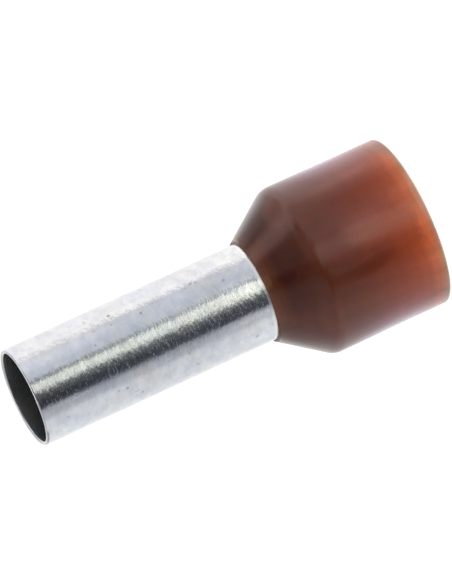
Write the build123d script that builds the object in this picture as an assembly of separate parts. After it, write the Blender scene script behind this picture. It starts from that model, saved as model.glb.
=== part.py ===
"""Insulated wire ferrule for a 10 mm2 stranded conductor.

Two pieces. A thin seamless copper tube, tin plated, is the part that gets crimped on the strands. A moulded
plastic collar sits on its rear end: a straight skirt that takes the wire's insulation, then a cone that narrows
down to the tube. The tube's hidden rear end is belled out and lies on the collar's inner cone, so the strands run
into it without catching and it can't be pulled out forwards.

Frame: the ferrule stands on the rim of the collar's skirt. The origin is the centre of that rim, on the surface
the ferrule stands on, and +Z runs along the axis to the tube's open mouth. Millimetres.
"""

import math
import os

from build123d import *

# --- tube (copper, tin plated) ---
tube_bore_d = 4.50  # inner diameter
tube_wall = 0.20
crimp_length = 12.24  # bare length in front of the collar
mouth_edge_out = 0.06  # rounding of the cut edge, outside
mouth_edge_in = 0.05  # rounding of the cut edge, inside
bell_end_r = 3.15  # outer radius of the belled rear end
bell_bend_r = 1.70  # outer bend radius where the bell starts, just under the collar's lip
bell_edge = 0.04  # rounding of the bell's cut edge

# --- collar (moulded plastic) ---
collar_outer_d = 8.45  # skirt, outside, at the rim
shoulder_outer_d = 8.52  # skirt, outside, at the shoulder: it widens a little on the way up
collar_bore_d = 7.60  # skirt, inside
shoulder_z = 5.90  # where the skirt meets the cone, before its rounding
collar_length = 8.26  # rim to front lip
neck_lip_r = 2.57  # outer radius of the front lip
cone_wall = 0.55  # wall of the cone, square to its face
shoulder_round_out = 0.90
shoulder_round_in = 0.45
rim_round_out = 0.10
rim_round_in = 0.12
lip_round = 0.07

overall_length = collar_length + crimp_length

tube_or = tube_bore_d / 2 + tube_wall
tube_ir = tube_bore_d / 2
rim_or = collar_outer_d / 2
skirt_or = shoulder_outer_d / 2
skirt_ir = collar_bore_d / 2

# The outer cone's direction, from the shoulder to the lip, and its inward normal, in (r, z).
cone_len = math.hypot(skirt_or - neck_lip_r, collar_length - shoulder_z)
dr, dz = (neck_lip_r - skirt_or) / cone_len, (collar_length - shoulder_z) / cone_len
nr, nz = -dz, dr
cone_half_angle = math.degrees(math.atan2(-dr, dz))

# One point on the inner cone, and the height at which it reaches a radius.
inner_r0, inner_z0 = skirt_or + nr * cone_wall, shoulder_z + nz * cone_wall


def inner_cone_z(r):
    return inner_z0 + (r - inner_r0) / dr * dz


# The bend that the collar's seat and the tube's outside share: an arc about (bend_r, bend_z), from the seat's
# cylinder round to the inner cone.
a = math.radians(cone_half_angle)
bend_r = tube_or + bell_bend_r
bend_end_r = bend_r - bell_bend_r * math.cos(a)
bend_end_z = inner_cone_z(bend_end_r)
bend_z = bend_end_z + bell_bend_r * math.sin(a)


def on_bend(radius, angle):
    """A point of an arc about the bend's centre, in (r, z). angle 0 is the cylinder, the cone half angle is the bell."""
    return bend_r - radius * math.cos(angle), bend_z - radius * math.sin(angle)


def turned(profile):
    """The solid that a closed (r, z) outline makes when it is turned about Z."""
    return revolve(profile, Axis.Z, 360)


def rounded(face, points_and_radii):
    """The face with the corner nearest to each (r, z) point rounded."""
    for (r, z), radius in points_and_radii:
        corner = face.vertices().sort_by_distance((r, 0, z))[0]
        face = fillet(corner, radius)
        face = face.faces()[0] if hasattr(face, "faces") else face
    return face


def outline(*edges):
    return make_face(Wire(list(edges)))


def p(r, z):
    return (r, 0, z)


# --- the tube ---
mouth_z = overall_length
bell_out_end = (bell_end_r, inner_cone_z(bell_end_r))
bell_in_end = (bell_end_r + nr * tube_wall, bell_out_end[1] + nz * tube_wall)
bend_out = [on_bend(bell_bend_r, t * a) for t in (0, 0.5, 1)]
bend_in = [on_bend(bell_bend_r + tube_wall, t * a) for t in (0, 0.5, 1)]
tube_face = outline(
    Line(p(tube_ir, mouth_z), p(tube_or, mouth_z)),
    Line(p(tube_or, mouth_z), p(*bend_out[0])),
    ThreePointArc(p(*bend_out[0]), p(*bend_out[1]), p(*bend_out[2])),
    Line(p(*bend_out[2]), p(*bell_out_end)),
    Line(p(*bell_out_end), p(*bell_in_end)),
    Line(p(*bell_in_end), p(*bend_in[2])),
    ThreePointArc(p(*bend_in[2]), p(*bend_in[1]), p(*bend_in[0])),
    Line(p(*bend_in[0]), p(tube_ir, mouth_z)),
)
tube_face = rounded(
    tube_face,
    [
        ((tube_or, mouth_z), mouth_edge_out),
        ((tube_ir, mouth_z), mouth_edge_in),
        (bell_in_end, bell_edge),
    ],
)
crimp_tube = turned(tube_face)
crimp_tube.label = "crimp_tube"

# --- the collar ---
inner_shoulder = (skirt_ir, inner_cone_z(skirt_ir))
collar_face = outline(
    Line(p(skirt_ir, 0), p(rim_or, 0)),
    Line(p(rim_or, 0), p(skirt_or, shoulder_z)),
    Line(p(skirt_or, shoulder_z), p(neck_lip_r, collar_length)),
    Line(p(neck_lip_r, collar_length), p(tube_or, collar_length)),
    Line(p(tube_or, collar_length), p(*bend_out[0])),
    ThreePointArc(p(*bend_out[0]), p(*bend_out[1]), p(*bend_out[2])),
    Line(p(*bend_out[2]), p(*inner_shoulder)),
    Line(p(*inner_shoulder), p(skirt_ir, 0)),
)
collar_face = rounded(
    collar_face,
    [
        ((rim_or, 0), rim_round_out),
        ((skirt_ir, 0), rim_round_in),
        ((skirt_or, shoulder_z), shoulder_round_out),
        (inner_shoulder, shoulder_round_in),
        ((neck_lip_r, collar_length), lip_round),
    ],
)
insulating_collar = turned(collar_face)
insulating_collar.label = "insulating_collar"

os.makedirs("parts", exist_ok=True)
export_step(crimp_tube, "parts/crimp_tube.step")
export_step(insulating_collar, "parts/insulating_collar.step")

print("cone half angle", round(cone_half_angle, 2), "deg")
print("bend centre", round(bend_r, 4), round(bend_z, 4), "bend end", round(bend_end_r, 4), round(bend_end_z, 4))
print("bell end, outside", [round(x, 4) for x in bell_out_end], "inside", [round(x, 4) for x in bell_in_end])
print("inner shoulder", [round(x, 4) for x in inner_shoulder])
print("tube volume", round(crimp_tube.volume, 3), "collar volume", round(insulating_collar.volume, 3))
print("overall", overall_length, "valid", crimp_tube.is_valid, insulating_collar.is_valid)
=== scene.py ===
"""The wire ferrule's looks: a satin tin-plated tube and a glossy brown collar, on a pale floor in soft studio light.

Lengths are written in millimetres and turned into metres with MM. The ferrule stands on the collar's rim, +Z runs up
the axis to the tube's mouth, and the camera stands at -Y.
"""

import math

import bpy
import numpy as np
from mathutils import Matrix, Vector


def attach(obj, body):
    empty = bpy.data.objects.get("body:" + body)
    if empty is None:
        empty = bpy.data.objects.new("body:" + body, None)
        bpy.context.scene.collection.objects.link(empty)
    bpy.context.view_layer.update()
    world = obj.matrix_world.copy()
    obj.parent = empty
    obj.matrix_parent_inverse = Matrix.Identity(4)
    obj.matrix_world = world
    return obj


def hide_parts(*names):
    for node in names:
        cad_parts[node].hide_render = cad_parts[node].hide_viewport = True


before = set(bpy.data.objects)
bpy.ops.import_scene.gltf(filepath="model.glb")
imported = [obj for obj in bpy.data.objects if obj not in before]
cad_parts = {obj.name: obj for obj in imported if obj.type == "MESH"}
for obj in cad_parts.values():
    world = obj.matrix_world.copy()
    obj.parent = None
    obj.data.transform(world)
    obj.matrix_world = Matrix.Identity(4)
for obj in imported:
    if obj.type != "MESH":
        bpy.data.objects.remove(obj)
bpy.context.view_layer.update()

MM = 0.001
rng = np.random.default_rng(7)

# --- sizes, as in the CAD source, mm ---
TUBE_R, BORE_R = 2.45, 2.25
LENGTH = 20.5
BELL_BEND = 1.70
BELL_OUT, BELL_IN = (3.15, 6.5054), (2.9874, 6.3889)
RIM_R, SKIRT_R, SKIRT_BORE_R = 4.225, 4.26, 3.8
SHOULDER_Z, INNER_SHOULDER_Z = 5.9, 5.5977
COLLAR_LENGTH, LIP_R = 8.26, 2.57
CONE_HALF_ANGLE = math.radians(35.61)
CONE_CORNER_Z = 7.4829  # where the collar's inner cone would meet the tube's outside

# --- camera ---
# A long lens 0.45 m away looks down 13 degrees and is rolled, so that the tube points to the lower left. The rim's
# centre is RIM_SHIFT millimetres right of and above the middle of the picture.
CAM_DISTANCE = 450.0
CAM_TILT = math.radians(13.233)
CAM_ROLL = math.radians(24.689)
RIM_SHIFT = (8.6385, 3.3608)
FOCAL_PX = 9511.0
PICTURE = (452, 584)


def add_camera():
    ct, st, cr, sr = math.cos(CAM_TILT), math.sin(CAM_TILT), math.cos(CAM_ROLL), math.sin(CAM_ROLL)
    # the ferrule's axes, seen by the camera (x right, y up, z towards the camera)
    axis = Vector((-cr * ct, -sr * ct, st))
    side = Vector((-sr, cr, 0))
    away = axis.cross(side)
    turn = Matrix((side, away, axis))  # camera to ferrule
    place = turn @ Vector((-RIM_SHIFT[0], -RIM_SHIFT[1], CAM_DISTANCE)) * MM
    data = bpy.data.cameras.new("camera")
    data.sensor_fit = "AUTO"
    data.sensor_width = 36.0
    data.lens = FOCAL_PX * data.sensor_width / max(PICTURE)
    data.clip_start, data.clip_end = 0.02, 20.0
    data.dof.use_dof = False
    cam = bpy.data.objects.new("camera", data)
    cam.matrix_world = Matrix.Translation(place) @ turn.to_4x4()
    bpy.context.scene.collection.objects.link(cam)
    bpy.context.scene.camera = cam


add_camera()

view = bpy.context.scene.view_settings
view.view_transform = "Standard"
view.look = "None"
view.exposure, view.gamma = 0.0, 1.0


# --- node helpers ---
def node(tree, kind, values=None, **settings):
    n = tree.nodes.new(kind)
    for k, v in settings.items():
        setattr(n, k, v)
    for k, v in (values or {}).items():
        socket = n.inputs[k]
        if isinstance(v, bpy.types.NodeSocket):
            tree.links.new(v, socket)
        else:
            socket.default_value = v
    return n


def math_node(tree, operation, a, b=0.0, c=0.0, clamp=False):
    n = tree.nodes.new("ShaderNodeMath")
    n.operation = operation
    n.use_clamp = clamp
    for i, v in enumerate((a, b, c)):
        if isinstance(v, bpy.types.NodeSocket):
            tree.links.new(v, n.inputs[i])
        else:
            n.inputs[i].default_value = v
    return n.outputs[0]


def vector_node(tree, operation, a, b=(0, 0, 0)):
    n = tree.nodes.new("ShaderNodeVectorMath")
    n.operation = operation
    for i, v in enumerate((a, b)):
        if isinstance(v, bpy.types.NodeSocket):
            tree.links.new(v, n.inputs[i])
        else:
            n.inputs[i].default_value = v
    return n.outputs[0]


def span(tree, value, from_low, from_high, to_low=0.0, to_high=1.0, smooth=True):
    n = node(
        tree,
        "ShaderNodeMapRange",
        {"Value": value, "From Min": from_low, "From Max": from_high, "To Min": to_low, "To Max": to_high},
        interpolation_type="SMOOTHSTEP" if smooth else "LINEAR",
    )
    n.clamp = True
    return n.outputs["Result"]


def ramp(tree, fac, stops, interpolation="LINEAR"):
    n = tree.nodes.new("ShaderNodeValToRGB")
    tree.links.new(fac, n.inputs["Fac"])
    r = n.color_ramp
    r.interpolation = interpolation
    while len(r.elements) > 1:
        r.elements.remove(r.elements[-1])
    r.elements[0].position = stops[0][0]
    r.elements[0].color = (*stops[0][1], 1)
    for at, colour in stops[1:]:
        e = r.elements.new(at)
        e.color = (*colour, 1)
    return n.outputs["Color"]


def mix_colour(tree, fac, a, b, blend="MIX"):
    n = tree.nodes.new("ShaderNodeMix")
    n.data_type = "RGBA"
    n.blend_type = blend
    n.clamp_factor = True
    for socket, v in ((n.inputs[0], fac), (n.inputs[6], a), (n.inputs[7], b)):
        if isinstance(v, bpy.types.NodeSocket):
            tree.links.new(v, socket)
        elif isinstance(v, (int, float)):
            socket.default_value = v
        else:
            socket.default_value = (*v, 1)
    return n.outputs[2]


def noise(tree, vector, scale, detail=2.0, roughness=0.5, distortion=0.0):
    n = node(
        tree,
        "ShaderNodeTexNoise",
        {"Vector": vector, "Scale": scale, "Detail": detail, "Roughness": roughness, "Distortion": distortion},
        noise_dimensions="3D",
    )
    return n.outputs[0]


def in_mm(tree):
    """The piece's own coordinates in millimetres: the vector, its x, y and z, and the distance from the axis."""
    at = vector_node(tree, "MULTIPLY", node(tree, "ShaderNodeTexCoord").outputs["Object"], (1000, 1000, 1000))
    parts = node(tree, "ShaderNodeSeparateXYZ", {"Vector": at}).outputs
    x, y, z = parts[0], parts[1], parts[2]
    r = math_node(tree, "SQRT", math_node(tree, "ADD", math_node(tree, "MULTIPLY", x, x), math_node(tree, "MULTIPLY", y, y)))
    return at, x, y, z, r


def material(name):
    m = bpy.data.materials.new(name)
    m.use_nodes = True
    tree = m.node_tree
    tree.nodes.clear()
    out = tree.nodes.new("ShaderNodeOutputMaterial")
    shader = tree.nodes.new("ShaderNodeBsdfPrincipled")
    tree.links.new(shader.outputs[0], out.inputs["Surface"])
    return m, tree, shader


# --- light: a studio round the ferrule ---
# The light depends on the compass direction: degrees from -Y, where the camera stands, towards +X, and a linear colour.
AROUND = [
    (-180, (1.03, 1.035, 1.02)),
    (-148, (0.975, 0.99, 0.975)),
    (-128, (0.88, 0.895, 0.917)),
    (-112, (0.825, 0.845, 0.866)),
    (-84, (0.785, 0.800, 0.820)),
    (-74, (0.78, 0.795, 0.820)),
    (-62, (0.53, 0.543, 0.573)),
    (-50, (0.46, 0.475, 0.51)),
    (-44, (0.33, 0.342, 0.375)),
    (-38, (0.058, 0.063, 0.078)),
    (-28, (0.054, 0.059, 0.072)),
    (-15, (0.102, 0.110, 0.118)),
    (-7, (0.160, 0.172, 0.167)),
    (-1, (0.63, 0.66, 0.605)),
    (3, (0.96, 1.00, 0.90)),
    (17, (0.95, 0.99, 0.89)),
    (20, (0.58, 0.61, 0.565)),
    (23, (0.275, 0.29, 0.285)),
    (28, (0.335, 0.355, 0.37)),
    (34, (0.665, 0.695, 0.748)),
    (50, (0.69, 0.725, 0.795)),
    (78, (0.80, 0.797, 0.827)),
    (85, (0.885, 0.872, 0.880)),
    (91.5, (1.17, 1.145, 1.125)),
    (148, (1.085, 1.070, 1.072)),
    (180, (1.03, 1.035, 1.02)),
]
# Above 4 to 21 degrees the front is dim, and the light comes from the right, the left and straight above.
ABOVE = [
    (-180, (0.66, 0.66, 0.67)),
    (-150, (0.66, 0.66, 0.67)),
    (-125, (0.66, 0.66, 0.68)),
    (-110, (0.58, 0.58, 0.60)),
    (-95, (0.60, 0.60, 0.62)),
    (-60, (0.42, 0.42, 0.44)),
    (-27, (0.30, 0.30, 0.31)),
    (-17, (0.10, 0.10, 0.11)),
    (-4, (0.06, 0.06, 0.07)),
    (4, (0.08, 0.08, 0.09)),
    (12, (0.27, 0.27, 0.28)),
    (56, (0.23, 0.23, 0.24)),
    (66, (0.34, 0.34, 0.35)),
    (71, (0.85, 0.84, 0.86)),
    (94, (1.00, 0.99, 1.01)),
    (103, (0.62, 0.61, 0.63)),
    (112, (0.42, 0.42, 0.43)),
    (124, (0.56, 0.56, 0.58)),
    (140, (0.68, 0.68, 0.69)),
    (180, (0.66, 0.66, 0.67)),
]
TOP_LIGHT = (1.1, 1.1, 1.12)
# Glowing and smoked places on the card in front: middle (x, z), half width, half height, then the glow and its colour,
# or what comes through.
FILL_SPOTS = [
    (12.0, -1.9, 19.0, 5.4, 0.41, (0.98, 1.0, 0.94)),
    (20.0, -7.2, 12.0, 2.3, 0.60, (1.0, 0.93, 1.03)),
    (15.0, -7.2, 6.0, 1.1, 2.10, (1.0, 0.93, 1.05)),
    (4.0, -5.6, 8.0, 1.4, 1.35, (1.0, 0.93, 1.05)),
    (-16.0, -5.0, 6.0, 1.1, 0.70, (1.0, 0.97, 1.03)),
    (-26.0, -6.1, 5.0, 1.3, 0.24, (1.0, 1.0, 1.02)),
    (6.0, 10.2, 9.0, 3.4, 0.10, (1.0, 1.0, 0.93)),
    (-7.0, -5.2, 11.0, 2.6, 0.40, (1.0, 0.93, 1.03)),
    (-52.0, -5.3, 24.0, 3.6, 0.19, (0.96, 1.0, 0.97)),
]
SMOKE = [
    (-1.0, -3.3, 11.0, 2.1, 0.14),
    (11.0, -4.7, 7.5, 2.4, 0.76),
    (-21.0, 11.0, 14.0, 5.0, 0.45),
    (8.0, 12.7, 24.0, 1.7, 0.55),
]
BACKDROP = (1.05, 1.05, 1.05)


def add_light():
    world = bpy.data.worlds.new("studio")
    bpy.context.scene.world = world
    world.use_nodes = True
    tree = world.node_tree
    tree.nodes.clear()
    way = node(tree, "ShaderNodeTexCoord").outputs["Generated"]
    parts = node(tree, "ShaderNodeSeparateXYZ", {"Vector": way}).outputs
    x, y, z = parts[0], parts[1], parts[2]
    compass = math_node(tree, "ARCTAN2", x, math_node(tree, "MULTIPLY", y, -1.0))
    turn = math_node(tree, "MULTIPLY_ADD", compass, 1 / (2 * math.pi), 0.5)
    around = ramp(tree, turn, [((d + 180) / 360, c) for d, c in AROUND])
    above = ramp(tree, turn, [((d + 180) / 360, c) for d, c in ABOVE])
    colour = mix_colour(tree, span(tree, z, math.sin(math.radians(4)), math.sin(math.radians(21))), around, above)
    colour = mix_colour(tree, span(tree, z, math.sin(math.radians(66)), math.sin(math.radians(74))), colour, TOP_LIGHT)
    seen = node(tree, "ShaderNodeLightPath").outputs["Is Camera Ray"]
    colour = mix_colour(tree, seen, colour, BACKDROP)
    back = node(tree, "ShaderNodeBackground", {"Color": colour, "Strength": 1.0})
    out = tree.nodes.new("ShaderNodeOutputWorld")
    tree.links.new(back.outputs[0], out.inputs["Surface"])
    world.cycles.sampling_method = "NONE"


add_light()


def card_of(name, points, quads):
    """A card that only reflections see, with an empty material."""
    mesh = bpy.data.meshes.new(name)
    mesh.from_pydata([tuple(v * MM for v in c) for c in points], [], quads)
    card = bpy.data.objects.new(name, mesh)
    bpy.context.scene.collection.objects.link(card)
    m = bpy.data.materials.new(name)
    m.use_nodes = True
    m.node_tree.nodes.clear()
    mesh.materials.append(m)
    m.cycles.emission_sampling = "NONE"
    card.visible_camera = card.visible_diffuse = card.visible_shadow = card.visible_transmission = False
    return m.node_tree


def add_fill_card():
    """A clear card in front of the ferrule, seen only by reflections. It glows softly in places, so the bright strip
    is stronger and wider at the collar's end of the tube and halfway along the collar's skirt, and it is smoked in
    others, so the strip fades at the collar's shoulder and the dark strip is deeper at the tube's mouth."""
    away = 40.0
    tree = card_of("fill_card", [(-70, -away, -60), (70, -away, -60), (70, -away, 40), (-70, -away, 40)], [(0, 1, 2, 3)])
    at, x, y, z, r = in_mm(tree)

    def distance(mid_x, mid_z, wide, high):
        dx = math_node(tree, "DIVIDE", math_node(tree, "SUBTRACT", x, mid_x), wide)
        dz = math_node(tree, "DIVIDE", math_node(tree, "SUBTRACT", z, mid_z), high)
        return math_node(tree, "ADD", math_node(tree, "MULTIPLY", dx, dx), math_node(tree, "MULTIPLY", dz, dz))

    through = 1.0
    for *place, left in SMOKE:
        through = math_node(tree, "MULTIPLY", span(tree, distance(*place), 0.0, 1.0, left, 1.0), through)
    tint = node(tree, "ShaderNodeCombineColor", {0: through, 1: through, 2: through}).outputs[0]
    both = node(tree, "ShaderNodeBsdfTransparent", {"Color": tint})
    for *place, glow, colour in FILL_SPOTS:
        strength = span(tree, distance(*place), 0.0, 1.0, glow, 0.0)
        strength = math_node(tree, "MULTIPLY", strength, through)
        shine = node(tree, "ShaderNodeEmission", {"Color": (*colour, 1), "Strength": strength})
        both = node(tree, "ShaderNodeAddShader", {0: both.outputs[0], 1: shine.outputs[0]})
    out = tree.nodes.new("ShaderNodeOutputMaterial")
    tree.links.new(both.outputs[0], out.inputs["Surface"])


add_fill_card()


# The same on the curved cards at the sides, where the middle is (degrees from -Y towards +X, z).
EDGE_SPOTS = [
    (130.0, -6.2, 58.0, 2.3, 0.60, (0.66, 0.64, 1.0)),
    (-130.0, -6.5, 58.0, 2.4, 0.62, (0.62, 0.66, 1.0)),
    (93.0, -6.5, 9.0, 1.2, 0.75, (1.0, 0.93, 1.03)),
]
EDGE_SMOKE = (60.0, -7.2, 16.0, 3.8, 0.55)


def add_edge_cards():
    """Two curved clear cards, left and right of the ferrule, seen only by reflections. They glow bluish low down
    behind it, so the skirt's two edges get a cool shine below the shoulder."""
    points, quads = [], []
    for side in (-1, 1):
        for k in range(26):
            turn = math.radians(47 + 5 * k) * side
            x, y = 38.0 * math.sin(turn), -38.0 * math.cos(turn)
            points += [(x, y, -14.0), (x, y, 2.0)]
        first = len(points) - 52
        quads += [(first + 2 * k, first + 2 * k + 2, first + 2 * k + 3, first + 2 * k + 1) for k in range(25)]
    tree = card_of("edge_cards", points, quads)
    at, x, y, z, r = in_mm(tree)
    compass = math_node(tree, "ARCTAN2", x, math_node(tree, "MULTIPLY", y, -1.0))

    def distance(mid, mid_z, wide, high):
        dc = math_node(tree, "DIVIDE", math_node(tree, "SUBTRACT", compass, math.radians(mid)), math.radians(wide))
        dz = math_node(tree, "DIVIDE", math_node(tree, "SUBTRACT", z, mid_z), high)
        return math_node(tree, "ADD", math_node(tree, "MULTIPLY", dc, dc), math_node(tree, "MULTIPLY", dz, dz))

    through = span(tree, distance(*EDGE_SMOKE[:4]), 0.0, 1.0, EDGE_SMOKE[4], 1.0)
    tint = node(tree, "ShaderNodeCombineColor", {0: through, 1: through, 2: through}).outputs[0]
    both = node(tree, "ShaderNodeBsdfTransparent", {"Color": tint})
    for *place, glow, colour in EDGE_SPOTS:
        strength = span(tree, distance(*place), 0.1, 1.0, glow, 0.0)
        shine = node(tree, "ShaderNodeEmission", {"Color": (*colour, 1), "Strength": strength})
        both = node(tree, "ShaderNodeAddShader", {0: both.outputs[0], 1: shine.outputs[0]})
    out = tree.nodes.new("ShaderNodeOutputMaterial")
    tree.links.new(both.outputs[0], out.inputs["Surface"])


add_edge_cards()


# --- floor ---
def add_floor():
    mesh = bpy.data.meshes.new("floor")
    size = 4.0
    mesh.from_pydata([(-size, -size, 0), (size, -size, 0), (size, size, 0), (-size, size, 0)], [], [(0, 1, 2, 3)])
    floor = bpy.data.objects.new("floor", mesh)
    bpy.context.scene.collection.objects.link(floor)
    m = bpy.data.materials.new("pale_floor")
    m.use_nodes = True
    tree = m.node_tree
    tree.nodes.clear()
    diffuse = node(tree, "ShaderNodeBsdfDiffuse", {"Color": (0.22, 0.22, 0.22, 1)})
    glow = node(tree, "ShaderNodeEmission", {"Color": (1, 1, 1, 1), "Strength": 0.92})
    both = node(tree, "ShaderNodeAddShader", {0: diffuse.outputs[0], 1: glow.outputs[0]})
    out = tree.nodes.new("ShaderNodeOutputMaterial")
    tree.links.new(both.outputs[0], out.inputs["Surface"])
    mesh.materials.append(m)
    floor.visible_glossy = False
    return floor


floor = add_floor()


# --- turned shapes ---
def rounded_outline(corners):
    """The points (r, z) of a closed outline. corners are (r, z, radius, arc points, step): the corner is rounded to
    that radius, and the straight run after it is cut into pieces no longer than step."""
    n = len(corners)
    ends = []
    for i, (r, z, radius, count, _) in enumerate(corners):
        p = np.array((r, z), float)
        before = np.array(corners[i - 1][:2], float) - p
        after = np.array(corners[(i + 1) % n][:2], float) - p
        before /= np.linalg.norm(before)
        after /= np.linalg.norm(after)
        if radius <= 0:
            ends.append([p])
            continue
        half = math.acos(np.clip(before @ after, -1, 1)) / 2
        reach = radius / math.tan(half)
        middle = p + (before + after) / np.linalg.norm(before + after) * radius / math.sin(half)
        a, b = p + before * reach - middle, p + after * reach - middle
        turn = math.pi - 2 * half
        ends.append(
            [middle + (math.sin((1 - t) * turn) * a + math.sin(t * turn) * b) / math.sin(turn) for t in np.linspace(0, 1, count)]
        )
    points = []
    for i, arc in enumerate(ends):
        points += arc
        a, b = arc[-1], ends[(i + 1) % n][0]
        cuts = max(1, math.ceil(np.linalg.norm(b - a) / corners[i][4] - 1e-6))
        points += [a + (b - a) * k / cuts for k in range(1, cuts)]
    return np.array(points)


def turned(name, outline, segments, moved):
    """The closed mesh that the outline makes when it turns about Z. moved(angle, r, z, nr, nz) gives each vertex's new
    (r, z) in mm, where (nr, nz) points out of the material."""
    area = np.sum(outline[:, 0] * np.roll(outline[:, 1], -1) - np.roll(outline[:, 0], -1) * outline[:, 1])
    if area < 0:
        outline = outline[::-1]
    along = np.roll(outline, -1, 0) - np.roll(outline, 1, 0)
    along /= np.linalg.norm(along, axis=1)[:, None]
    out = np.stack([along[:, 1], -along[:, 0]], 1)
    rings = len(outline)
    angle = np.arange(segments) / segments * 2 * math.pi
    a, r = np.meshgrid(angle, outline[:, 0], indexing="ij")
    z, nr, nz = (np.broadcast_to(v, a.shape) for v in (outline[:, 1], out[:, 0], out[:, 1]))
    r, z = moved(a, r, z, nr, nz)
    co = np.stack([r * np.cos(a), r * np.sin(a), z], -1).reshape(-1, 3) * MM
    i, j = np.meshgrid(np.arange(segments), np.arange(rings), indexing="ij")
    i2, j2 = (i + 1) % segments, (j + 1) % rings
    quads = np.stack([i * rings + j, i2 * rings + j, i2 * rings + j2, i * rings + j2], -1).reshape(-1, 4)
    mesh = bpy.data.meshes.new(name)
    mesh.vertices.add(len(co))
    mesh.vertices.foreach_set("co", co.astype(np.float32).ravel())
    mesh.loops.add(quads.size)
    mesh.loops.foreach_set("vertex_index", quads.astype(np.int32).ravel())
    mesh.polygons.add(len(quads))
    mesh.polygons.foreach_set("loop_start", np.arange(0, quads.size, 4, dtype=np.int32))
    mesh.update(calc_edges=True)
    mesh.validate()
    mesh.polygons.foreach_set("use_smooth", np.ones(len(quads), bool))
    run = np.concatenate([[0], np.cumsum(np.linalg.norm(np.roll(outline, -1, 0) - outline, axis=1))])
    u = np.stack([i, i + 1, i + 1, i], -1) / segments
    v = np.stack([run[j], run[j], run[j + 1], run[j + 1]], -1) / run[-1]
    layer = mesh.uv_layers.new(name="OFBake")
    layer.uv.foreach_set("vector", np.stack([u, v], -1).astype(np.float32).ravel())
    piece = bpy.data.objects.new(name, mesh)
    bpy.context.scene.collection.objects.link(piece)
    return piece


def waves(seed, count, radius, longest, shortest):
    """Soft random height over the surface of a cylinder, about -1 to 1: a sum of waves in (angle, z)."""
    pick = np.random.default_rng(seed)
    parts = []
    for _ in range(count):
        length = longest * (shortest / longest) ** pick.random()
        heading = pick.random() * math.pi
        turns = round(2 * math.pi * radius / length * math.cos(heading))
        rise = 2 * math.pi / length * math.sin(heading)
        parts.append((turns, rise, pick.random() * 2 * math.pi, (length / longest) ** 0.8))

    def height(angle, z):
        total = np.zeros(np.broadcast(angle, z).shape)
        for turns, rise, phase, size in parts:
            total = total + size * np.sin(turns * angle + rise * z + phase)
        return total / math.sqrt(sum(p[3] ** 2 for p in parts) / 2) / 2

    return height


def bump_at(angle, z, radius, at_angle, at_z, wide, high):
    """A smooth spot, 1 in its middle: wide round the tube and high along it, in mm."""
    across = (np.mod(angle - at_angle + math.pi, 2 * math.pi) - math.pi) * radius / wide
    d = across**2 + ((z - at_z) / high) ** 2
    return np.exp(-d * 1.6)


# Small marks on the tube: angle in degrees from -Y towards +X, height, how wide and how high, and how deep, all in mm.
MARKS = [
    (55, 8.95, 0.10, 0.16, 0.030),
    (72, 9.15, 0.16, 0.10, 0.045),
    (38, 16.9, 0.06, 0.05, 0.016),
    (44, 15.1, 0.08, 0.05, 0.020),
    (28, 14.1, 0.05, 0.05, 0.012),
    (-37, 13.0, 0.05, 0.05, 0.016),
    (-30, 13.8, 0.06, 0.06, 0.016),
    (-51, 8.9, 0.05, 0.06, 0.016),
]
for _ in range(26):
    MARKS.append(
        (
            70 + rng.random() * 210,
            8.6 + rng.random() * 11.2,
            0.04 + rng.random() * 0.05,
            0.04 + rng.random() * 0.05,
            0.008 + rng.random() * 0.012,
        )
    )

# The drawn tube isn't perfectly round. Near -Y it is a little flatter towards the collar and a little fuller at the
# mouth, by up to 0.03 mm.
FLAT_AT, FLAT_HALF_WIDTH = math.radians(-90 + 4.5), math.radians(26)


def flatness(a, z):
    d = (np.mod(a - FLAT_AT + math.pi, 2 * math.pi) - math.pi) / FLAT_HALF_WIDTH
    dip = np.where(np.abs(d) < 1, 0.5 + 0.5 * np.cos(math.pi * np.clip(d, -1, 1)), 0.0)
    along = np.interp(z, [8.2, 10.0, 13.0, 17.0, 20.5], [0.026, 0.020, 0.004, -0.006, -0.010])
    return dip * along


tube_swell = waves(11, 40, TUBE_R, 5.0, 0.9)
mouth_wave = waves(23, 14, TUBE_R, 8.0, 1.2)
edge_wave = waves(29, 24, TUBE_R, 3.0, 0.5)


def tube_shape(a, r, z, nr, nz):
    bare = np.clip((z - COLLAR_LENGTH - 0.15) / 0.5, 0, 1)
    outside = (nr > 0.5) * bare
    inside = (nr < -0.5) * bare
    depth = 0.0035 * (0.5 - 0.5 * tube_swell(a, z)) * outside
    depth = depth + (0.005 + 0.005 * np.cos(a - FLAT_AT) + flatness(a, z)) * outside
    for deg, mark_z, wide, high, deep in MARKS:
        depth = depth + deep * bump_at(a, z, TUBE_R, math.radians(deg - 90), mark_z, wide, high) * outside
    depth = depth + 0.004 * (0.5 - 0.5 * tube_swell(a + 1.0, z * 0.8)) * inside
    # the cut edge isn't quite true
    near_mouth = np.clip((z - (LENGTH - 0.5)) / 0.5, 0, 1) ** 2
    sink = near_mouth * (0.014 * (0.5 - 0.5 * mouth_wave(a, 0)) + 0.008 * (0.5 - 0.5 * edge_wave(a, 0)))
    lean = near_mouth * 0.010 * (0.5 - 0.5 * edge_wave(a, 7.0))
    return r - nr * depth - lean * (nr > 0), z - nz * depth - sink


tube_outline = rounded_outline(
    [
        (TUBE_R, CONE_CORNER_Z, BELL_BEND, 10, 0.075),
        (TUBE_R, LENGTH, 0.08, 8, 0.03),
        (BORE_R - 0.01, LENGTH, 0.11, 9, 0.35),
        (BORE_R, CONE_CORNER_Z - 0.2 * math.tan(CONE_HALF_ANGLE / 2), BELL_BEND + 0.2, 10, 0.12),
        (*BELL_IN, 0.04, 4, 0.2),
        (*BELL_OUT, 0.02, 4, 0.15),
    ]
)
tube = turned("crimp_tube_tin", tube_outline, 384, tube_shape)

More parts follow.
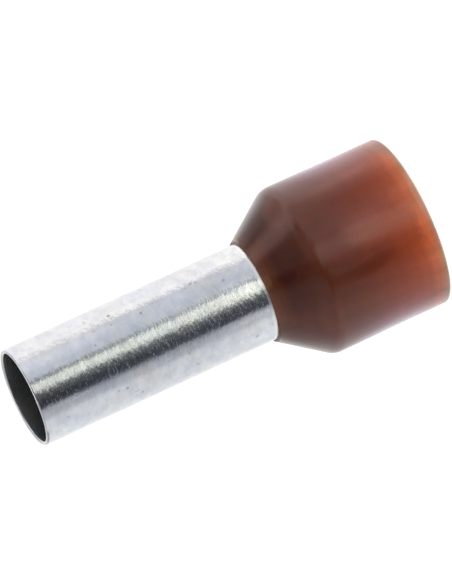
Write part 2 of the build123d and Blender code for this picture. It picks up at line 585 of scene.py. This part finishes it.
collar_swell = waves(41, 34, SKIRT_R, 8.0, 1.3)
GAP = 0.006  # the collar stays this far off the tube, so that no two surfaces coincide


def collar_shape(a, r, z, nr, nz):
    outside = np.clip((nr * 0.83 + nz * 0.56 - 0.5) / 0.3, 0, 1) * np.clip(z / 0.4, 0, 1)
    depth = 0.014 * (0.5 - 0.5 * collar_swell(a, z)) * outside
    return r - nr * depth, z - nz * depth


collar_outline = rounded_outline(
    [
        (SKIRT_BORE_R, 0, 0.12, 7, 0.06),
        (RIM_R, 0, 0.10, 7, 0.09),
        (SKIRT_R, SHOULDER_Z, 0.90, 16, 0.06),
        (LIP_R, COLLAR_LENGTH, 0.06, 8, 0.03),
        (TUBE_R + GAP, COLLAR_LENGTH, 0.03, 4, 0.04),
        (TUBE_R + GAP, CONE_CORNER_Z + GAP * math.tan(CONE_HALF_ANGLE / 2), BELL_BEND - GAP, 12, 0.12),
        (SKIRT_BORE_R, INNER_SHOULDER_Z + GAP, 0.45, 8, 0.2),
    ]
)
collar = turned("insulating_collar_plastic", collar_outline, 352, collar_shape)


# --- tin-plated copper ---
# How strong the tin's grain is, by degrees from -Y towards +X.
GRAIN_TRACKS = [
    (-180, 0.45),
    (-150, 0.25),
    (-118, 0.85),
    (-92, 0.25),
    (-30, 0.22),
    (-18, 0.45),
    (-8, 0.95),
    (10, 0.95),
    (20, 0.40),
    (34, 0.32),
    (41, 2.20),
    (47, 2.00),
    (55, 0.35),
    (95, 0.25),
    (126, 0.90),
    (152, 0.30),
    (180, 0.45),
]


# Dark specks on the tube: angle in degrees from -Y towards +X, height, half width in mm, and how dark.
SPECKS = [
    (49, 15.50, 0.075, 0.75),
    (56, 16.65, 0.050, 0.50),
    (35, 15.65, 0.050, 0.45),
    (33, 14.13, 0.060, 0.55),
    (-41, 16.15, 0.060, 0.60),
    (-52, 15.77, 0.045, 0.50),
    (-58, 15.45, 0.055, 0.65),
    (-40, 16.60, 0.050, 0.40),
    (-33, 12.80, 0.045, 0.45),
    (20, 16.81, 0.050, 0.40),
    (27, 9.90, 0.070, 0.45),
    (-53, 9.36, 0.070, 0.50),
    (41, 11.33, 0.080, 0.50),
    (40, 11.10, 0.060, 0.40),
]


# Broad patches of painted highlight and shade in the tin's reflection: middle in degrees from -Y towards +X, half width
# in degrees, height of the middle, half height, and how bright.
PAINTED_LIGHT_PATCHES = [
    (33, 13, 18.6, 3.6, 1.12),
    (62, 9, 17.5, 3.2, 1.05),
    (49, 8, 13.2, 1.7, 1.08),
    (18, 34, 11.45, 0.5, 0.94),
    (26, 20, 9.7, 1.8, 0.94),
    (5, 5, 11.2, 1.5, 0.91),
    (-10, 4.5, 9.5, 1.9, 0.68),
    (-6, 6, 17.2, 1.3, 0.93),
    (-21, 6, 18.9, 1.4, 1.20),
    (-26, 6.5, 12.2, 2.4, 0.87),
    (-72, 11, 9.3, 1.3, 0.88),
    (-50, 14, 9.4, 1.8, 1.06),
    (-58, 12, 19.4, 1.0, 1.08),
    (-8, 45, 8.8, 0.45, 1.10),
    (44, 5.5, 9.7, 1.3, 0.90),
    (45, 5, 18.8, 3.0, 0.94),
    (9, 4, 9.6, 1.1, 0.94),
]


def tin():
    m, tree, shader = material("tinned_copper")
    at, x, y, z, r = in_mm(tree)
    squeezed = vector_node(tree, "MULTIPLY", at, (1.0, 1.0, 2.9))
    grain = noise(tree, squeezed, 2.6, detail=2.2, roughness=0.60)
    pits = noise(tree, vector_node(tree, "ADD", squeezed, (31.0, 17.0, 5.0)), 3.4, detail=1.5, roughness=0.55)
    # the grain is coarsest in a few tracks along the tube, where rollers held it
    round_it = math_node(tree, "ARCTAN2", x, math_node(tree, "MULTIPLY", y, -1.0))
    turn = math_node(tree, "MULTIPLY_ADD", round_it, 1 / (2 * math.pi), 0.5)
    track = ramp(tree, turn, [((d + 180) / 360, (v,) * 3) for d, v in GRAIN_TRACKS], "EASE")
    mottle = noise(tree, vector_node(tree, "MULTIPLY", at, (1.0, 1.0, 1.5)), 1.5, detail=3.5, roughness=0.58)
    cloud = noise(tree, at, 0.9, detail=2.5, roughness=0.55)
    inside = math_node(tree, "MULTIPLY", span(tree, r, 2.30, 2.26), span(tree, z, 20.45, 20.38))
    # specks of dross and small pits show as dark points
    torn = node(tree, "ShaderNodeTexNoise", {"Vector": at, "Scale": 7.0, "Detail": 2.0}, noise_dimensions="3D").outputs[1]
    torn = vector_node(tree, "ADD", at, vector_node(tree, "MULTIPLY", vector_node(tree, "SUBTRACT", torn, (0.5, 0.5, 0.5)), (0.35, 0.35, 0.25)))
    specks = node(tree, "ShaderNodeTexVoronoi", {"Vector": torn, "Scale": 0.85, "Randomness": 1.0}, feature="F1").outputs["Distance"]
    speck = span(tree, specks, 0.035, 0.085, 0.8, 0.0)
    # stains, bluer and yellower
    stain = noise(tree, vector_node(tree, "ADD", at, (5.0, 40.0, 9.0)), 0.75, detail=2.5, roughness=0.6)
    # the tin is brighter and smoother at the two ends than in the middle
    bright = ramp(
        tree,
        math_node(tree, "DIVIDE", math_node(tree, "SUBTRACT", z, 8.2), 12.3, clamp=True),
        [(0.0, (0.87, 0.875, 0.885)), (0.18, (0.82, 0.825, 0.84)), (0.5, (0.79, 0.795, 0.81)), (1.0, (0.81, 0.815, 0.83))],
    )
    base = mix_colour(tree, span(tree, mottle, 0.36, 0.66, 0.0, 1.0, smooth=False), bright, mix_colour(tree, 1.0, bright, (0.84, 0.85, 0.875), "MULTIPLY"))
    base = mix_colour(tree, span(tree, cloud, 0.42, 0.62, 0.0, 0.55), base, mix_colour(tree, 1.0, base, (0.93, 0.94, 0.96), "MULTIPLY"))
    base = mix_colour(tree, 1.0, base, ramp(tree, stain, [(0.34, (0.965, 0.985, 1.02)), (0.5, (1.0, 1.0, 1.0)), (0.66, (1.015, 1.0, 0.965))]), "MULTIPLY")
    base = mix_colour(tree, span(tree, grain, 0.42, 0.26, 0.0, 0.5), base, (0.58, 0.59, 0.62))
    base = mix_colour(tree, math_node(tree, "MULTIPLY", speck, 0.45), base, (0.30, 0.31, 0.33))
    ragged = vector_node(tree, "ADD", vector_node(tree, "MULTIPLY", at, (0.7, 0.7, 0.7)), vector_node(tree, "MULTIPLY", torn, (0.3, 0.3, 0.3)))
    for deg, mark_z, wide, dark in SPECKS:
        spot = (TUBE_R * math.sin(math.radians(deg)), -TUBE_R * math.cos(math.radians(deg)), mark_z)
        away = vector_node(tree, "DISTANCE", ragged, spot).node.outputs["Value"]
        base = mix_colour(tree, span(tree, away, 0.6 * wide, 1.6 * wide, dark, 0.0), base, (0.20, 0.21, 0.23))
    # painted highlight and shade: broad patches brighten or darken the tin's reflection
    for mid, wide, mid_z, high, gain in PAINTED_LIGHT_PATCHES:
        da = math_node(tree, "DIVIDE", math_node(tree, "SUBTRACT", round_it, math.radians(mid)), math.radians(wide))
        dz = math_node(tree, "DIVIDE", math_node(tree, "SUBTRACT", z, mid_z), high)
        d = math_node(tree, "ADD", math_node(tree, "MULTIPLY", da, da), math_node(tree, "MULTIPLY", dz, dz))
        d = math_node(tree, "ADD", d, math_node(tree, "MULTIPLY", math_node(tree, "SUBTRACT", stain, 0.5), 0.8))
        base = mix_colour(tree, span(tree, d, 0.1, 1.0, 1.0, 0.0), base, mix_colour(tree, 1.0, base, (gain, gain, gain), "MULTIPLY"))
    # a pale, duller line where the collar's lip ends
    line = span(tree, z, 8.45, 8.36)
    base = mix_colour(tree, math_node(tree, "MULTIPLY", line, 0.9), base, (1.0, 0.97, 0.92))
    # painted shade in a thin line behind the cut edge, on one side
    painted_edge_shade = math_node(tree, "MULTIPLY", span(tree, z, 20.36, 20.40), span(tree, z, 20.475, 20.44))
    painted_edge_shade = math_node(tree, "MULTIPLY", painted_edge_shade, math_node(tree, "MULTIPLY", span(tree, round_it, math.radians(-46), math.radians(-58)), span(tree, round_it, math.radians(-125), math.radians(-105))))
    painted_edge_shade = math_node(tree, "MULTIPLY", painted_edge_shade, math_node(tree, "MULTIPLY", span(tree, r, 2.34, 2.38), span(tree, mottle, 0.35, 0.55, 0.45, 0.95)))
    base = mix_colour(tree, painted_edge_shade, base, (0.20, 0.21, 0.24))
    # the bore is dull, and darkened with painted shade, most of all on the -X side
    bore_shade = mix_colour(tree, span(tree, stain, 0.35, 0.65), (0.255, 0.26, 0.265), (0.285, 0.265, 0.25))
    bore_shade = mix_colour(tree, span(tree, x, -0.6, -2.0, 0.0, 0.9), bore_shade, (0.15, 0.19, 0.21))
    base = mix_colour(tree, inside, base, bore_shade)
    tree.links.new(base, shader.inputs["Base Color"])
    rough = ramp(
        tree,
        math_node(tree, "DIVIDE", math_node(tree, "SUBTRACT", z, 8.2), 12.3, clamp=True),
        [(0.0, (0.13,) * 3), (0.25, (0.16,) * 3), (0.5, (0.175,) * 3), (0.75, (0.16,) * 3), (1.0, (0.135,) * 3)],
    )
    rough = math_node(tree, "ADD", rough, span(tree, cloud, 0.3, 0.7, -0.015, 0.025, smooth=False))
    rough = math_node(tree, "ADD", rough, span(tree, pits, 0.53, 0.70, -0.01, 0.15))
    rough = math_node(tree, "MAXIMUM", rough, math_node(tree, "MULTIPLY", line, 0.34))
    rough = math_node(tree, "MAXIMUM", rough, math_node(tree, "MULTIPLY", inside, 0.45))
    tree.links.new(rough, shader.inputs["Roughness"])
    shader.inputs["Metallic"].default_value = 1.0
    height = math_node(tree, "ADD", math_node(tree, "MULTIPLY", grain, track), math_node(tree, "MULTIPLY", mottle, 0.55))
    height = math_node(tree, "SUBTRACT", height, math_node(tree, "MULTIPLY", speck, 0.8))
    bump = node(tree, "ShaderNodeBump", {"Height": height, "Distance": 0.000019, "Strength": 1.0})
    tree.links.new(bump.outputs[0], shader.inputs["Normal"])
    return m


# --- brown plastic ---
# The base colour up the collar: light orange where the skirt is thin and the light comes through, dark on the cone.
COLLAR_COLOURS = [
    (0.0, (0.52, 0.42, 0.29)),
    (0.12, (0.58, 0.30, 0.165)),
    (0.26, (0.70, 0.225, 0.098)),
    (0.45, (0.71, 0.165, 0.057)),
    (1.0, (0.50, 0.0844, 0.0198)),
    (1.6, (0.385, 0.0621, 0.0146)),
    (2.4, (0.297, 0.0466, 0.0120)),
    (3.2, (0.227, 0.0369, 0.0095)),
    (4.0, (0.178, 0.0320, 0.0086)),
    (5.0, (0.148, 0.0291, 0.0095)),
    (6.0, (0.128, 0.0262, 0.0086)),
    (6.8, (0.100, 0.0184, 0.0060)),
    (7.4, (0.086, 0.0136, 0.0043)),
    (7.8, (0.130, 0.028, 0.007)),
    (8.0, (0.170, 0.046, 0.016)),
    (8.26, (0.200, 0.072, 0.037)),
]


# Streaks and patches in the collar, many of them painted highlights, sheen and shade: middle in degrees from -Y towards
# +X, lean in degrees a millimetre, half width in degrees, height of the middle, half height, strength and colour.
STREAKS_AND_PAINTED_LIGHT = [
    (7, 0.0, 15, 2.3, 2.9, 0.27, (0.50, 0.125, 0.07)),
    (50, 0.0, 22, 6.3, 0.75, 0.27, (0.36, 0.14, 0.105)),
    (32, 0.0, 12, 5.65, 0.5, 0.07, (0.40, 0.06, 0.03)),
    (-38, 0.0, 22, 6.1, 0.7, 0.10, (0.40, 0.12, 0.07)),
    (-17, 0.0, 6, 0.25, 0.9, 0.30, (0.68, 0.11, 0.03)),
    (-5, 0.0, 14, 0.37, 0.34, 0.34, (0.95, 0.22, 0.075)),
    (-18, 0.0, 15, 0.28, 0.26, 0.16, (0.90, 0.19, 0.065)),
    (17, 0.0, 11, 1.05, 0.6, 0.20, (0.72, 0.16, 0.05)),
    (14, 0.0, 22, 0.1, 0.3, 0.25, (0.95, 0.52, 0.36)),
    (7, 0.0, 15, 4.95, 1.2, 0.48, (0.15, 0.006, 0.001)),
    (58, 0.0, 16, 1.45, 1.4, 0.13, (0.10, 0.02, 0.015)),
    (-56, 0.0, 16, 1.45, 1.4, 0.13, (0.10, 0.02, 0.015)),
    (-9, 0.0, 7, 2.8, 0.75, 0.14, (0.07, 0.008, 0.002)),
    (13, 0.0, 14, 0.55, 0.6, 0.09, (0.95, 0.28, 0.08)),
    (-48, 0.0, 14, 0.7, 1.3, 0.18, (0.20, 0.09, 0.07)),
    (33, 0.0, 16, 2.2, 2.6, 0.19, (0.14, 0.012, 0.003)),
    (-16, -1.5, 6, 3.5, 1.6, 0.28, (0.07, 0.008, 0.002)),
    (36, 0.0, 13, 7.2, 1.4, 0.22, (0.33, 0.08, 0.04)),
    (51, 0.0, 5, 7.8, 0.7, 0.50, (0.06, 0.008, 0.004)),
    (0, 0.0, 7, 7.3, 0.52, 0.62, (0.05, 0.006, 0.002)),
    (4, 0.0, 9, 8.2, 0.3, 0.30, (0.30, 0.16, 0.08)),
    (12, 0.0, 12, 6.9, 0.7, 0.25, (0.05, 0.008, 0.004)),
    (-55, 0.0, 30, 6.8, 1.6, 0.12, (0.35, 0.06, 0.03)),
    (20, 0.0, 30, 6.0, 0.35, 0.09, (0.36, 0.15, 0.11)),
    (74, 0.0, 28, 0.9, 2.8, 0.40, (0.28, 0.11, 0.085)),
    (-78, 0.0, 24, 0.8, 2.6, 0.42, (0.26, 0.11, 0.09)),
    (62, 0.0, 24, 8.0, 0.8, 0.36, (0.05, 0.010, 0.006)),
    (-64, 0.0, 24, 8.0, 0.8, 0.42, (0.05, 0.010, 0.006)),
    (84, 0.0, 24, 8.3, 0.22, 0.75, (0.42, 0.36, 0.32)),
    (-84, 0.0, 24, 8.3, 0.22, 0.70, (0.36, 0.30, 0.26)),
    (66, 0.0, 24, 0.2, 0.6, 0.50, (0.30, 0.17, 0.11)),
    (150, 0.5, 15, 2.6, 2.5, 0.30, (0.42, 0.09, 0.04)),
    (-120, -1.0, 9, 3.2, 2.0, 0.25, (0.07, 0.008, 0.002)),
]


def plastic():
    m, tree, shader = material("collar_plastic")
    at, x, y, z, r = in_mm(tree)
    cloud = noise(tree, at, 0.35, detail=2.0)
    fine = noise(tree, at, 9.0, detail=2.0)
    up = math_node(tree, "MULTIPLY_ADD", math_node(tree, "SUBTRACT", cloud, 0.5), 0.6, z)
    base = ramp(
        tree, math_node(tree, "DIVIDE", up, 8.26, clamp=True), [(h / 8.26, c) for h, c in COLLAR_COLOURS], "EASE"
    )
    # paler and darker streaks, where the plastic flowed up from the rim
    flow = noise(tree, vector_node(tree, "MULTIPLY", at, (1.0, 1.0, 0.16)), 0.75, detail=2.0)
    base = mix_colour(tree, span(tree, flow, 0.36, 0.64, 0.10, 0.0), base, (0.02, 0.006, 0.004))
    thread = noise(tree, vector_node(tree, "MULTIPLY", at, (1.0, 1.0, 0.20)), 1.7, detail=1.5)
    base = mix_colour(tree, 1.0, base, ramp(tree, thread, [(0.34, (0.93, 0.89, 0.88)), (0.5, (1.0, 1.0, 1.0)), (0.66, (1.05, 1.10, 1.16))]), "MULTIPLY")
    round_it = math_node(tree, "ARCTAN2", x, math_node(tree, "MULTIPLY", y, -1.0))
    # painted highlights, sheen and shade, together with some streaks in the plastic
    for mid, lean, wide, mid_z, high, share, colour in STREAKS_AND_PAINTED_LIGHT:
        # lean is how far the streak's middle moves round for each millimetre up
        centre = math_node(tree, "MULTIPLY_ADD", math_node(tree, "SUBTRACT", z, mid_z), math.radians(lean), math.radians(mid))
        da = math_node(tree, "DIVIDE", math_node(tree, "SUBTRACT", round_it, centre), math.radians(wide))
        dz = math_node(tree, "DIVIDE", math_node(tree, "SUBTRACT", z, mid_z), high)
        d = math_node(tree, "ADD", math_node(tree, "MULTIPLY", da, da), math_node(tree, "MULTIPLY", dz, dz))
        d = math_node(tree, "ADD", d, math_node(tree, "MULTIPLY", math_node(tree, "SUBTRACT", cloud, 0.5), 0.8))
        base = mix_colour(tree, span(tree, d, 0.15, 1.0, share, 0.0), base, colour)
    base = mix_colour(tree, span(tree, fine, 0.35, 0.65, 0.0, 0.08), base, (0.02, 0.006, 0.004))
    tree.links.new(base, shader.inputs["Base Color"])
    rough = span(tree, fine, 0.3, 0.7, 0.17, 0.23, smooth=False)
    rough = math_node(tree, "MAXIMUM", rough, span(tree, z, 8.15, 8.25, 0.0, 0.7))  # the cut lip is matte
    tree.links.new(rough, shader.inputs["Roughness"])
    shader.inputs["IOR"].default_value = 1.5
    shader.inputs["Coat Weight"].default_value = 0.12
    shader.inputs["Coat Roughness"].default_value = 0.08
    shader.inputs["Coat IOR"].default_value = 1.5
    shader.inputs["Sheen Weight"].default_value = 0.25
    shader.inputs["Sheen Roughness"].default_value = 0.30
    shader.inputs["Sheen Tint"].default_value = (0.97, 0.92, 1.0, 1)
    shader.inputs["Subsurface Weight"].default_value = 0.25
    shader.inputs["Subsurface Radius"].default_value = (1.0, 0.35, 0.2)
    shader.inputs["Subsurface Scale"].default_value = 0.0006
    bump = node(tree, "ShaderNodeBump", {"Height": fine, "Distance": 0.0000012, "Strength": 1.0})
    tree.links.new(bump.outputs[0], shader.inputs["Normal"])
    return m


tube.data.materials.append(tin())
collar.data.materials.append(plastic())

for piece, cad_node, slot in ((tube, "crimp_tube", "tinned_copper"), (collar, "insulating_collar", "collar_plastic")):
    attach(piece, "root")
    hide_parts(cad_node)
